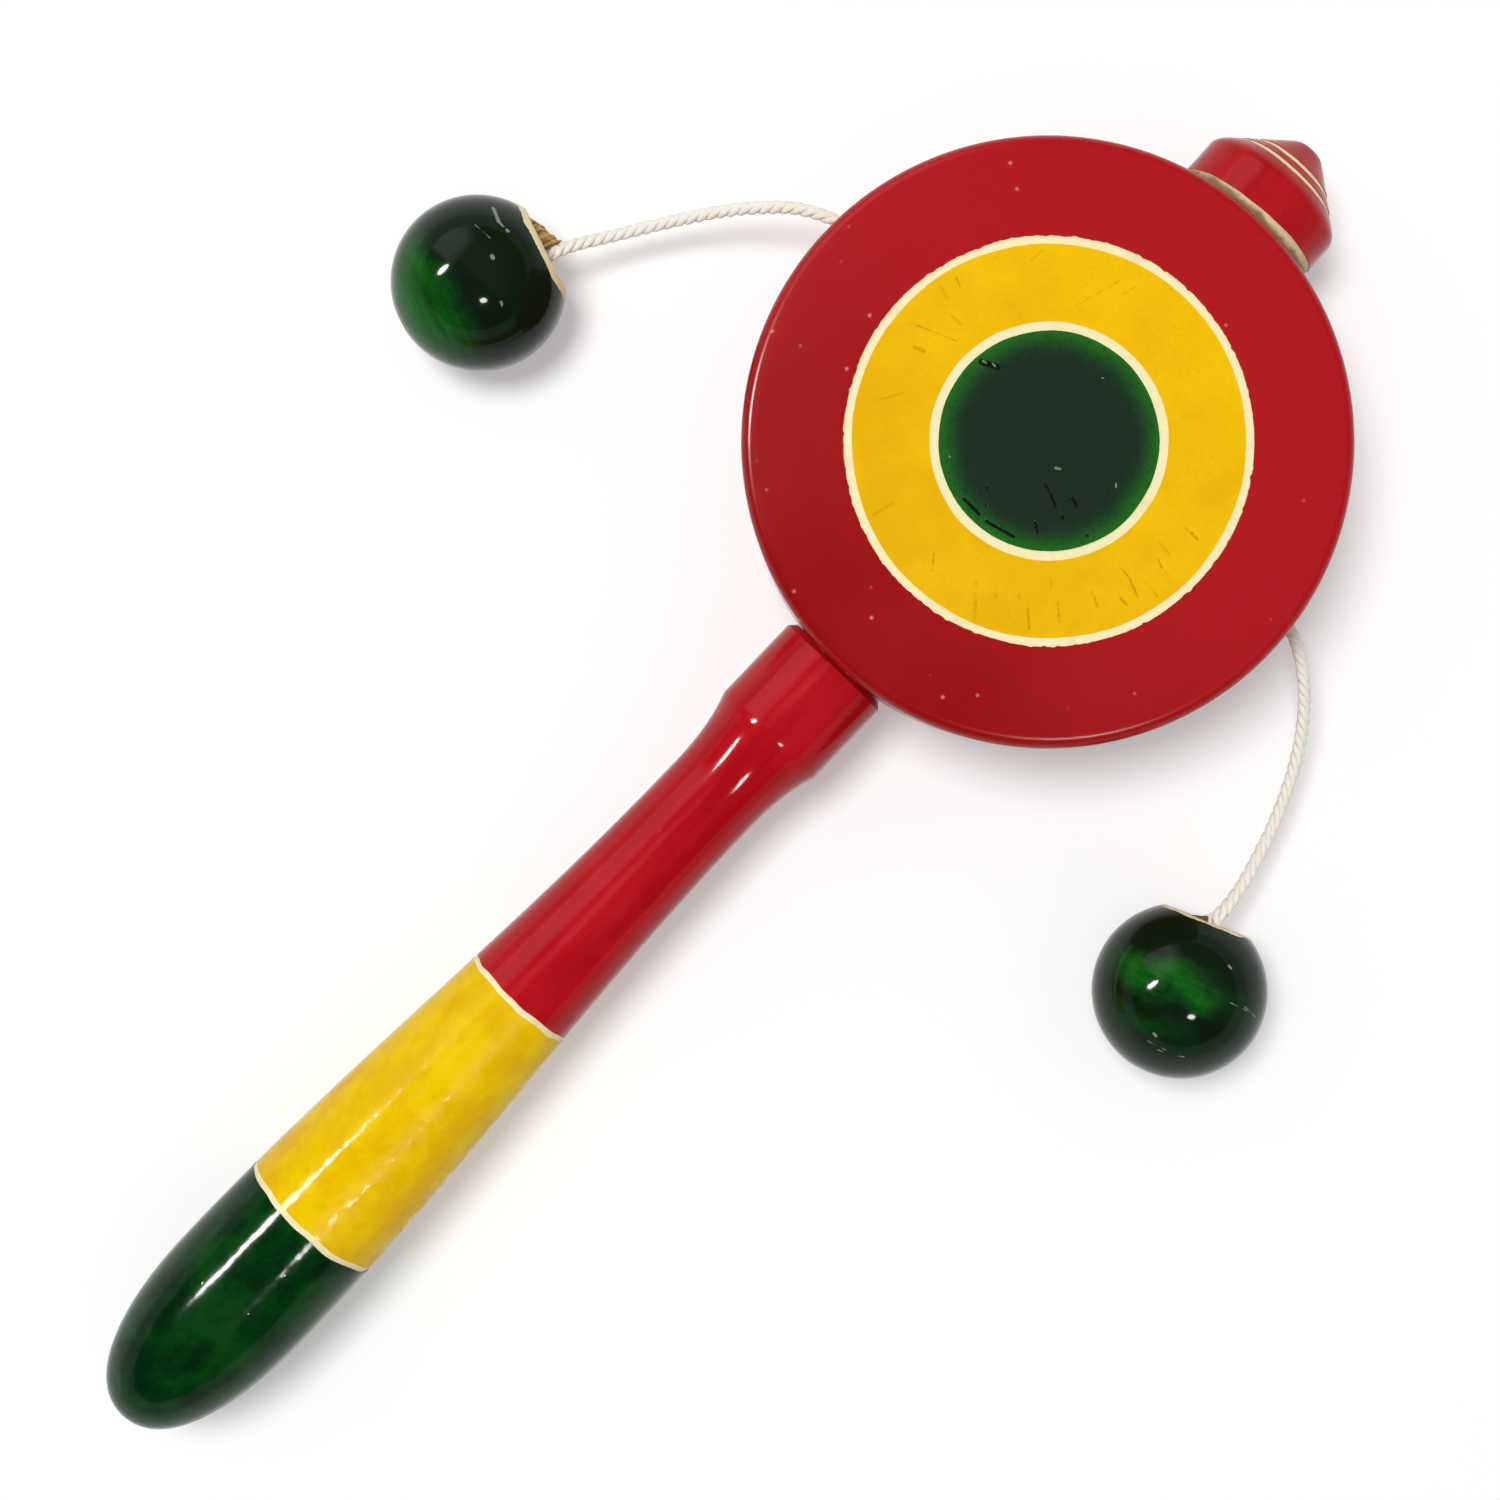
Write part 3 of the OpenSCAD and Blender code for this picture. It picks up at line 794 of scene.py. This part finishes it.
def make_handle(materials):
    def points(stations):
        return [(handle_radius(x), x) for x in stations]

    tip = [GRIP_AT + TIP_LEN * math.sin(t) ** (2 / TIP_POWER) for t in np.linspace(0, math.pi / 2, 40)]
    edges = [Edge(0.0002, 0.00003, seed) for seed in (1.5, 1.6, 3.5, 3.6)]
    collar = spread(COLLAR_BEVEL + 0.0002, COLLAR_LEN, 0.0007)
    red = [0, COLLAR_BEVEL, *collar, *spread(COLLAR_LEN, RED_TO, 0.0005)[1:]]
    green = [*spread(GREEN_FROM, GRIP_AT, 0.0007), *tip[1:]]
    bands = [
        Band("handle_red", points(red), 0, None, edges[0]),
        Band("bare_wood", points(spread(RED_TO, YELLOW_FROM, 0.0002)), GROOVE, edges[0], edges[1]),
        Band("handle_yellow", points(spread(YELLOW_FROM, YELLOW_TO, 0.0007)), 0, edges[1], edges[2]),
        Band("bare_wood", points(spread(YELLOW_TO, GREEN_FROM, 0.0002)), GROOVE, edges[2], edges[3]),
        Band("handle_green", points(green), 0, edges[3], None),
    ]
    place = Matrix.Translation((0, -SEAT_R, MID_Z)) @ Matrix.Rotation(math.radians(90), 4, "X")
    make_turned("turned_handle", bands, place, TURNED_SIDES, materials, "drum", "handle")


def finial_radius(x):
    """Radius of the finial at a distance from its seat."""
    if x < CONE_TO:
        cone = FINIAL_R + (CONE_END_R - FINIAL_R) * (x - SHOULDER_AT) / (CONE_TO - SHOULDER_AT)
        over = max(0, SHOULDER_R - abs(cone - FINIAL_R))
        return min(cone, FINIAL_R) - over**2 / (4 * SHOULDER_R)
    return BLUNT_R * math.sqrt(max(0, 1 - ((x - BLUNT_AT) / BLUNT_LEN) ** 2))


def make_finial(materials):
    def points(stations):
        return [(finial_radius(x), x) for x in stations]

    edges = [Edge(0.0001, 0.00004, seed) for seed in (5.5, 7.5, 7.6, 9.5, 9.6)]
    edges[0] = edges[0]._replace(lean=BASE_BAND_LEAN)
    first, second = LINE_FROMS
    tip = [BLUNT_AT + BLUNT_LEN * math.cos(t) for t in np.linspace(CONE_TURN, 0, 14)]
    shoulder = [*spread(BASE_BAND_TO, SHOULDER_AT, 0.0004), *spread(SHOULDER_AT, first, 0.0004)[1:]]
    bands = [
        Band("shaded_foot_wood", points(spread(0, BASE_BAND_TO, 0.0003)), GROOVE, None, edges[0]),
        Band("finial_red", points(shoulder), 0, edges[0], edges[1]),
        Band("bare_wood", points(spread(first, first + LINE_W, 0.0001)), GROOVE, edges[1], edges[2]),
        Band("finial_red", points(spread(first + LINE_W, second, 0.0002)), 0, edges[2], edges[3]),
        Band("bare_wood", points(spread(second, second + LINE_W, 0.0001)), GROOVE, edges[3], edges[4]),
        Band("finial_red", points([*spread(second + LINE_W, CONE_TO, 0.0002), *tip[1:]]), 0, edges[4], None),
    ]
    turn = Matrix.Rotation(FINIAL_SKEW, 4, "Z") @ Matrix.Translation((0, 0, MID_Z))
    place = turn @ Matrix.Rotation(math.radians(-90), 4, "X") @ Matrix.Translation((0, 0, SEAT_R))
    make_turned("turned_finial", bands, place, TURNED_SIDES, materials, "drum", "finial")


def arc(r_middle, z_middle, r, start, end, steps):
    """Points on an arc in the (radius, height) plane, with angles from the radius direction."""
    return [
        (r_middle + r * math.cos(t), z_middle + r * math.sin(t))
        for t in np.radians(np.linspace(start, end, steps))
    ]


def make_head(side, place, materials, seed):
    """A head of the drum, from its seam with the rim up its side and in over its face."""
    edges = [Edge(0.0001, rag, seed + i) for i, rag in enumerate((0.00018, 0.00006, 0.00003, 0.00003))]
    seam = 0.0001

    def face(start, end, step):
        return [(r, HEAD_T) for r in spread(start, end, step)]

    wall = [(DRUM_R - seam, 0), (DRUM_R, seam), (DRUM_R, HEAD_T / 2)]
    corner = arc(DRUM_R - HEAD_EDGE_R, HEAD_T - HEAD_EDGE_R, HEAD_EDGE_R, 0, 90, 14)
    red = [*wall, *corner, *face(DRUM_R - HEAD_EDGE_R, RED_IN_R, 0.0008)[1:]]
    bands = [
        Band("face_red", red, 0, None, edges[0]),
        Band("bare_wood", face(RED_IN_R, YELLOW_OUT_R, 0.0002), GROOVE, edges[0], edges[1]),
        Band(f"{side}_yellow", face(YELLOW_OUT_R, YELLOW_IN_R, 0.0006), 0, edges[1], edges[2]),
        Band("bare_wood", face(YELLOW_IN_R, DISC_R, 0.0002), GROOVE, edges[2], edges[3]),
        Band(f"{side}_green", face(DISC_R, 0.0002, 0.0006), 0, edges[3], None),
    ]
    name = f"{side}_head"
    make_turned(f"turned_{name}", bands, place, HEAD_SIDES, materials, "drum", name)


def make_bead(side, bead, turn, bare, materials, seed):
    """A turned pellet whose flat end, and a little of the ball round it, is bare."""
    edge = Edge(0.00025, 0.00015, seed)
    tail_angle = -math.degrees(math.acos(BEAD_TAIL_R / BEAD_R))
    flat_angle = math.degrees(math.acos(BEAD_FLAT_R / BEAD_R))
    tail = [(TAIL_HOLE_R, z) for z in spread(TAIL_HOLE_LEN - BEAD_TAIL_Z, -BEAD_TAIL_Z, 0.0006)]
    tail += [(r, -BEAD_TAIL_Z) for r in spread(TAIL_HOLE_R, BEAD_TAIL_R, 0.0003)[1:]]
    bare_angle = flat_angle - math.degrees(bare / BEAD_R)
    ball = arc(0, 0, BEAD_R, tail_angle, bare_angle, 80)
    end = arc(0, 0, BEAD_R, bare_angle, flat_angle, 4)
    end += [(r, BEAD_FLAT_Z) for r in spread(BEAD_FLAT_R, PEG_HOLE_R, 0.0004)[1:]]
    end += [(PEG_HOLE_R, z) for z in spread(BEAD_FLAT_Z, BEAD_FLAT_Z - PEG_HOLE_LEN, 0.0008)[1:]]
    bands = [
        Band("dark_hole", tail),
        Band(f"{side}_green", ball, 0, None, edge),
        Band("bare_wood", end, 0, edge, None),
    ]
    name, body = f"{side}_bead", f"{side}_pellet"
    place = bead_place(bead, turn)
    make_turned(f"turned_{name}", bands, place, TURNED_SIDES, materials, body, name)


def front_place():
    return Matrix.Translation((0, 0, DRUM_T - HEAD_T))


def back_place():
    return Matrix.Translation((0, 0, HEAD_T)) @ Matrix.Rotation(math.pi, 4, "X")


def bead_place(bead, turn):
    upright = Matrix.Rotation(math.radians(-90), 4, "X")
    return Matrix.Translation(bead) @ Matrix.Rotation(turn, 4, "Z") @ upright


def make_peg(side, place, stub, materials, seed):
    """A split peg: a shank beside the string in the pellet's hole, and a torn stub on the bare flat."""
    length, height, width = stub
    inner = STRING_OFF - STRING_D / 2 - PEG_GAP
    rows, columns = 26, 13
    top, low = [], []
    for i in range(rows):
        t = i / (rows - 1)
        x = inner - length * (1 - t)
        half = width / 2 * (0.35 + 0.65 * t)
        for k in range(columns):
            off = 2 * k / (columns - 1) - 1
            y = half * off
            splinter = noise.noise(Vector((x * 900, y * 2600, seed)))
            step = 0.5 + 0.5 * noise.noise(Vector((x * 2400, y * 500, seed + 5)))
            rise = height * t**0.8 * (1 - 0.55 * off**2) * (0.72 + 0.28 * step + 0.25 * splinter)
            top.append((x, y, BEAD_FLAT_Z + max(0.00005, rise)))
            inside = math.hypot(x, y) < PEG_HOLE_R - PEG_GAP
            low.append((x, y, BEAD_FLAT_Z - (PEG_SHANK if inside else PEG_SINK)))
    faces = []
    count = rows * columns
    for i in range(rows - 1):
        for k in range(columns - 1):
            a = i * columns + k
            corners = (a, a + columns, a + columns + 1, a + 1)
            faces.append(corners)
            faces.append(tuple(count + c for c in reversed(corners)))
    rim = list(range(columns))
    rim += [i * columns + columns - 1 for i in range(1, rows)]
    rim += [(rows - 1) * columns + k for k in range(columns - 2, -1, -1)]
    rim += [i * columns for i in range(rows - 2, 0, -1)]
    for a, b in zip(rim, rim[1:] + rim[:1]):
        faces.append((a, b, count + b, count + a))
    name = f"split_{side}_peg"
    mesh = bpy.data.meshes.new(name)
    mesh.from_pydata(top + low, [], faces)
    mesh.materials.append(materials[f"{side}_peg"])
    add_piece(name, mesh, place, f"{side}_pellet", f"{side}_bead_peg")


def dress(node, material):
    """A CAD piece that keeps its shape and gets a finish."""
    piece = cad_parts[node]
    piece.data.materials.clear()
    piece.data.materials.append(material)


# Light and floor


def make_floor():
    """A pale floor that curves up into a backdrop far round the rattle."""
    outline = [(FLOOR_MIDDLE_R, 0), (FLOOR_R, 0)]
    for t in np.linspace(0.1, 1.4, 14):
        outline.append((FLOOR_R + SWEEP_R * math.sin(t), SWEEP_R * (1 - math.cos(t))))
    turns = np.linspace(0, 2 * math.pi, FLOOR_SIDES, endpoint=False)
    corners = [(r * math.cos(t), r * math.sin(t), z - FLOOR_DROP) for r, z in outline for t in turns]
    faces = [tuple(range(FLOOR_SIDES))]
    for i in range(len(outline) - 1):
        for k in range(FLOOR_SIDES):
            a, b = i * FLOOR_SIDES + k, i * FLOOR_SIDES + (k + 1) % FLOOR_SIDES
            faces.append((a, a + FLOOR_SIDES, b + FLOOR_SIDES, b))
    mesh = bpy.data.meshes.new("floor")
    mesh.from_pydata(corners, [], faces)
    mesh.shade_smooth()
    mesh.materials.append(floor_paper())
    floor = bpy.data.objects.new("floor", mesh)
    bpy.context.scene.collection.objects.link(floor)


def seen(graph):
    """1 where the camera looks straight at a surface or in a mirror of it, 0 for the light that it gives."""
    path = graph.add("ShaderNodeLightPath", {}).outputs
    return graph.largest(*(path[f"Is {kind} Ray"] for kind in ("Camera", "Glossy", "Transmission")))


def floor_paper():
    """White paper, shown partly by a white of its own so that the shadows on it stay light."""
    g = Finish("floor_paper", 0)
    g.put(g.shader.inputs["Emission Color"], colour(1, 1, 1))
    g.put(g.shader.inputs["Emission Strength"], g.math("MULTIPLY", seen(g), PAPER_GLOW))
    return g.finish(colour(PAPER_WHITE, PAPER_WHITE, PAPER_WHITE), 0.9)


Lamp = namedtuple("Lamp", "right down distance size watts long_way", defaults=(0,))

# Directions are degrees off the vertical to the photograph's right and down, sizes and distances are metres
KEY = Lamp(-10, -9, 1.1, (0.34, 0.34), 7.6)
GLOSS_LAMPS = {
    "tube": Lamp(-41, -15, 1.5, (0.45, 0.14), 19, -24),
    "bulb": Lamp(11, 29, 1.3, (0.2, 0.13), 4.5),
}


def make_lamp(name, lamp):
    """An area lamp that shines on the place below the camera."""
    data = bpy.data.lights.new(name, "AREA")
    data.shape = "ELLIPSE"
    data.size, data.size_y = lamp.size
    data.energy = lamp.watts
    away = IMAGE_RIGHT * math.tan(math.radians(lamp.right)) + IMAGE_DOWN * math.tan(math.radians(lamp.down))
    away = (away + Vector((0, 0, 1))).normalized()
    turn = math.radians(lamp.long_way)
    long_way = IMAGE_RIGHT * math.cos(turn) + IMAGE_DOWN * math.sin(turn)
    long_way = (long_way - away * long_way.dot(away)).normalized()
    aim = Matrix((long_way, away.cross(long_way), away)).transposed().to_4x4()
    piece = bpy.data.objects.new(name, data)
    piece.matrix_world = Matrix.Translation(CAMERA_AT * Vector((1, 1, 0)) + away * lamp.distance) @ aim
    bpy.context.scene.collection.objects.link(piece)
    return piece


def make_world():
    """An even grey room. Gloss mirrors its darker sides, its shaded half and a window."""
    world = bpy.data.worlds.new("studio")
    world.use_nodes = True
    g = Graph(world.node_tree)
    ahead = g.add("ShaderNodeTexCoord", {}).outputs["Generated"]
    x, y, z = g.split(ahead)
    room = g.step(z, 0.5, 0.9, ROOM_SIDES, ROOM_TOP)
    room = g.math("MULTIPLY", room, g.step(y, 0.12, 0, 1, SHADED_HALF))
    window = g.math("MULTIPLY", g.step(y, -0.17, -0.07), g.step(y, 0.7, 0.4))
    window = g.math("MULTIPLY", window, g.step(x, -0.45, -0.7, 0, WINDOW))
    mirrored = g.math("ADD", room, window)
    path = g.add("ShaderNodeLightPath", {}).outputs
    strength = g.step(path["Is Glossy Ray"], 0, 1, ROOM_LIGHT, mirrored)
    strength = g.step(path["Is Camera Ray"], 0, 1, strength, 1)
    g.put(world.node_tree.nodes["Background"].inputs["Color"], colour(1, 1, 1))
    g.put(world.node_tree.nodes["Background"].inputs["Strength"], strength)
    bpy.context.scene.world = world


def make_light():
    """Soft light from above the upper left, with lamps that only the gloss mirrors."""
    make_world()
    make_lamp("key", KEY).visible_glossy = False
    for name, lamp in GLOSS_LAMPS.items():
        make_lamp(name, lamp).visible_diffuse = False
    bpy.context.scene.view_settings.view_transform = "Standard"


make_camera()
string_cotton = cotton()
make_string(
    "left_string", route(-1, LEFT_HOLE_ANGLE, LEFT_FREE, LEFT_BEAD, LEFT_TURN), LEFT_OPENING,
    string_cotton,
)
make_string(
    "right_string", route(1, RIGHT_HOLE_ANGLE, RIGHT_FREE, RIGHT_BEAD, RIGHT_TURN), RIGHT_OPENING,
    string_cotton,
)

left_chips = bead_lines(LEFT_BEAD_CHIPS, LEFT_BEAD, LEFT_TURN)
right_chips = bead_lines(RIGHT_BEAD_CHIPS, RIGHT_BEAD, RIGHT_TURN)
along_grain, blotches = (450, 450, 40), (330, 330, 240)
materials = {
    "face_red": face_red(),
    "front_yellow": face_yellow("front_yellow", face_lines(RING_TICKS), face_lines(RING_SMUDGES)),
    "front_green": face_green("front_green", face_lines(DISC_CRACKS), face_lines(DISC_CHIPS_AND_GLINTS)),
    "back_yellow": face_yellow("back_yellow", [], []),
    "back_green": face_green("back_green", [], []),
    "bare_wood": bare_wood(),
    "shaded_foot_wood": shaded_foot_wood(),
    "dark_hole": dark_hole(),
    "handle_red": gloss_lacquer(
        "handle_red", colour(0.42, 0.004, 0.008), colour(0.52, 0.008, 0.014), along_grain, 0.09, 0.12
    ),
    "handle_yellow": gloss_lacquer(
        "handle_yellow", colour(0.84, 0.48, 0.0003), colour(0.94, 0.62, 0.0006), blotches, 0.1, 1.2,
        shine=0.1, worn=0.25,
    ),
    "handle_green": gloss_lacquer(
        "handle_green", colour(0.0012, 0.021, 0.0035), colour(0.003, 0.058, 0.006), blotches, 0.09, 0.5
    ),
    "finial_red": gloss_lacquer(
        "finial_red", colour(0.40, 0.005, 0.008), colour(0.51, 0.010, 0.014), along_grain, 0.13, 0.12
    ),
    "left_green": pellet_green(
        "left_green", [(-0.0074, 0.0062, 1)],
        ball_point(LEFT_GLOW, LEFT_BEAD, LEFT_TURN), LEFT_GLOW_R, left_chips,
    ),
    "right_green": pellet_green(
        "right_green", [(0.001, 0.0034, 1), (-0.0058, 0.003, 0.4)],
        ball_point(RIGHT_GLOW, RIGHT_BEAD, RIGHT_TURN), RIGHT_GLOW_R, right_chips,
    ),
    "left_peg": peg_wood("left_peg", colour(0.20, 0.085, 0.018), colour(0.70, 0.46, 0.17)),
    "right_peg": peg_wood("right_peg", colour(0.05, 0.02, 0.006), colour(0.30, 0.14, 0.04)),
}
make_handle(materials)
make_finial(materials)
make_head("front", front_place(), materials, 20.5)
make_head("back", back_place(), materials, 30.5)
make_bead("left", LEFT_BEAD, LEFT_TURN, LEFT_BARE, materials, 40.5)
make_bead("right", RIGHT_BEAD, RIGHT_TURN, RIGHT_BARE, materials, 50.5)
make_peg("left", bead_place(LEFT_BEAD, LEFT_TURN), LEFT_STUB, materials, 60.5)
make_peg("right", bead_place(RIGHT_BEAD, RIGHT_TURN), RIGHT_STUB, materials, 70.5)
dress("drum_rim", materials["face_red"])
for knot in ("left_string_knot", "right_string_knot"):
    dress(knot, string_cotton)

make_floor()
make_light()
